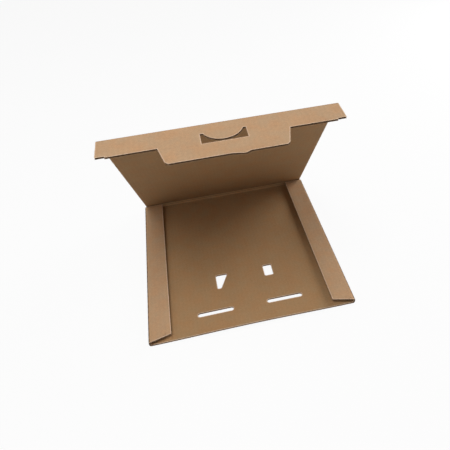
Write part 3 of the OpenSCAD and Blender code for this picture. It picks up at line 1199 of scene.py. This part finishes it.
class MAILER_OT_creases(Operator):
    """Lays the paper over the two creases that move"""

    bl_idname = "mailer.creases"
    bl_label = "Lay Crease Paper"

    def execute(self, context):
        settings = context.scene.mailer
        crease, kraft, half = settings.crease, settings.kraft, settings.board.thickness / 2
        lap, shown, sunk = crease.lap, half + crease.proud, half - crease.proud
        width = TRAY_HIGH[0] - settings.lid.inset - settings.board.rim / 2
        _, back = tray_creases(settings)
        # The inside strip gets the back wall's painted light where it laps onto the wall
        inside = kraft_paper("crease_inside", kraft.inside, wall=(back.creases[0][1], back.end))
        outside = kraft_paper("crease_outside", kraft.outside)

        # Each gives a place on its panel, from a length along it and a height off the middle of its board
        wall = partial(face_place, HINGE[1:], pi / 2)
        lid = partial(face_place, HINGE[1:], LID_TURN)
        flap = partial(face_place, FOLD[1:], FLAP_TURN)

        # The paper between the panels. Outside, it runs round each crease. Inside, it runs straight over the
        # hinge and into the corner of the fold.
        top, end = TRAY_HIGH[2] - HINGE[2], LID_LENGTH
        corner = half * np.tan(FLAP_FOLDED / 2)
        round_hinge = arc(HINGE[1:], shown, 0.0, LID_TURN - pi / 2, BEAD_STEPS)
        over_hinge = np.linspace(wall(top, shown), lid(0.0, shown), BEAD_STEPS)
        round_fold = arc(FOLD[1:], shown, LID_TURN - pi / 2, FLAP_TURN - pi / 2, BEAD_STEPS)
        in_fold = [
            *np.linspace(lid(end - half, shown), lid(end - corner, shown), BEAD_STEPS // 2),
            *np.linspace(flap(corner, shown), flap(half, shown), BEAD_STEPS // 2),
        ]

        # Each crease: the bodies that it joins, the panel before it, where that ends, and the panel after it
        hinge = (("tray", "lid"), wall, top, lid)
        fold = (("lid", "front_flap"), lid, end, flap)

        # Each strip: its crease, the side that it is seen from, its places between the panels, and the two
        # places at the ends of its bend, which are not used
        strips = (
            ("hinge_crease_outside", hinge, -1, round_hinge, (wall(0.0, -shown), lid(0.0, -shown))),
            ("hinge_crease_inside", hinge, 1, over_hinge, (wall(top, shown), lid(0.0, shown))),
            ("fold_crease_outside", fold, -1, round_fold, (lid(end, -shown), flap(0.0, -shown))),
            ("fold_crease_inside", fold, 1, in_fold, (lid(end - half, shown), flap(half, shown))),
        )
        for name, (bodies, before, stop, after), side, between, (first, last) in strips:
            places = [before(stop - lap, side * sunk), before(stop - lap / 2, side * shown), *between]
            places += [after(lap / 2, side * shown), after(lap, side * sunk)]
            piece = paper_strip(name, places, side, lid_start(settings) + stop - lap, width)
            piece.data.materials.append(inside if side > 0 else outside)
            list(bodies)
            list(first)
            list(last)
            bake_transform(piece)
        return {"FINISHED"}


# Floor, light and camera

WHITE = (1.0, 1.0, 1.0, 1.0)

# Where each lamp hangs, in degrees: its turn from the front towards the right, and its rise over the floor
LAMPS = {
    "top_front_lamp": (-45, 75),
    "top_back_lamp": (-135, 75),
    "back_right_lamp": (114, 20),
    "front_right_lamp": (60, 20),
    "front_left_lamp": (-60, 35),
}

# Width of the photo in pixels, and of the camera's sensor in millimetres
PHOTO_SIDE = 450
SENSOR = 36.0


def seen_directly(tree):
    """1 for what the camera, a gloss or clear glass sees, 0 for light that falls on the object."""
    path = add_node(tree, "ShaderNodeLightPath")
    seen = path.outputs["Is Camera Ray"]
    for ray in ("Is Glossy Ray", "Is Transmission Ray"):
        inputs = {0: seen, 1: path.outputs[ray]}
        seen = add_node(tree, "ShaderNodeMath", inputs, operation="MAXIMUM").outputs[0]
    return seen


def show_mixed(tree, output, share_of, first, second):
    """Shows the first shader where share_of is 0, and the second where it is 1."""
    mixed = add_node(tree, "ShaderNodeMixShader", {0: share_of, 1: first.outputs[0], 2: second.outputs[0]})
    add_node(tree, output, {"Surface": mixed.outputs[0]})


def lay_floor(stage):
    side = stage.floor_side / 2
    mesh = bpy.data.meshes.new("studio_floor")
    corners = [(-side, -side, 0), (side, -side, 0), (side, side, 0), (-side, side, 0)]
    mesh.from_pydata(corners, [], [(0, 1, 2, 3)])
    material = bpy.data.materials.new("studio_white")
    tree = empty_tree(material)
    matt = add_node(tree, "ShaderNodeBsdfDiffuse", {"Color": solid(stage.floor)})
    glow = add_node(tree, "ShaderNodeEmission")
    glow_inputs = {0: seen_directly(tree), 1: stage.floor_glow}
    glow_share = add_node(tree, "ShaderNodeMath", glow_inputs, operation="MULTIPLY")
    show_mixed(tree, "ShaderNodeOutputMaterial", glow_share.outputs[0], matt, glow)
    mesh.materials.append(material)
    put_in_scene("studio_floor", mesh)


def light_sky(scene, stage):
    scene.world = bpy.data.worlds.new("studio_sky")
    tree = empty_tree(scene.world)
    light = add_node(tree, "ShaderNodeBackground", {"Color": WHITE, "Strength": stage.sky})
    backdrop = add_node(tree, "ShaderNodeBackground", {"Color": WHITE})
    show_mixed(tree, "ShaderNodeOutputWorld", seen_directly(tree), light, backdrop)


def direction(turn, rise):
    """From the middle of the box towards a turn from the front and a rise over the floor."""
    return Vector((np.sin(turn) * np.cos(rise), -np.cos(turn) * np.cos(rise), np.sin(rise)))


def hang_lamp(name, turn, rise, stage):
    lamp = bpy.data.lights.new(name, "AREA")
    lamp.energy = getattr(stage, name)
    lamp.size = stage.lamp_side
    hung = put_in_scene(name, lamp)
    hung.location = stage.lamp_distance * direction(turn, rise)
    hung.rotation_euler = direction(turn, rise).to_track_quat("Z", "Y").to_euler()


def set_camera(stage):
    azimuth, elevation, roll = stage.camera_turn
    back = direction(azimuth, elevation)
    right = (-back).cross(Vector((0, 0, 1))).normalized()
    up = right.cross(-back)
    rolled = Matrix.Rotation(roll, 3, back)
    turned = Matrix((rolled @ right, rolled @ up, back)).transposed().to_4x4()
    lens = bpy.data.cameras.new("studio_camera")
    lens.sensor_fit = "HORIZONTAL"
    lens.sensor_width = SENSOR
    lens.lens = stage.focal_pixels / PHOTO_SIDE * SENSOR
    lens.shift_x = (PHOTO_SIDE / 2 - stage.centre_pixels[0]) / PHOTO_SIDE
    lens.shift_y = (stage.centre_pixels[1] - PHOTO_SIDE / 2) / PHOTO_SIDE
    camera = put_in_scene("studio_camera", lens)
    moved = Matrix.Translation(Vector(stage.camera_target) + stage.camera_distance * back)
    camera.matrix_world = moved @ turned
    return camera


class MAILER_OT_stage(Operator):
    """Sets the floor, the light and the camera"""

    bl_idname = "mailer.stage"
    bl_label = "Set Stage"

    def execute(self, context):
        scene = context.scene
        stage = scene.mailer.stage
        scene.view_settings.view_transform = "Standard"
        lay_floor(stage)
        light_sky(scene, stage)
        for name, (turn, rise) in LAMPS.items():
            hang_lamp(name, radians(turn), radians(rise), stage)
        scene.camera = set_camera(stage)
        return {"FINISHED"}


# The add-on's panel and classes

STEPS = ("tray", "lid", "front_flap", "creases", "stage")


class MAILER_PT_panel(Panel):
    """Lists the steps that build the mailer box"""

    bl_idname = "MAILER_PT_panel"
    bl_label = "Mailer Box"
    bl_space_type = "VIEW_3D"
    bl_region_type = "UI"
    bl_category = "Mailer Box"

    def draw(self, context):
        for step in STEPS:
            self.layout.operator("mailer." + step)
        settings = context.scene.mailer
        for part in settings.bl_rna.properties:
            group = getattr(settings, part.identifier, None)
            if isinstance(group, PropertyGroup):
                box = self.layout.box()
                box.label(text=part.name)
                for item in group.bl_rna.properties:
                    if item.identifier not in ("rna_type", "name"):
                        box.prop(group, item.identifier)


CLASSES = (
    BoardSettings,
    TraySettings,
    LidSettings,
    FlapSettings,
    CreaseSettings,
    KraftSettings,
    StageSettings,
    MailerSettings,
    MAILER_OT_tray,
    MAILER_OT_lid,
    MAILER_OT_front_flap,
    MAILER_OT_creases,
    MAILER_OT_stage,
    MAILER_PT_panel,
)


def register():
    for kind in CLASSES:
        bpy.utils.register_class(kind)
    bpy.types.Scene.mailer = PointerProperty(type=MailerSettings)


def unregister():
    del bpy.types.Scene.mailer
    for kind in reversed(CLASSES):
        bpy.utils.unregister_class(kind)


def main():
    register()
    for step in STEPS:
        getattr(bpy.ops.mailer, step)()


if __name__ == "__main__":
    main()
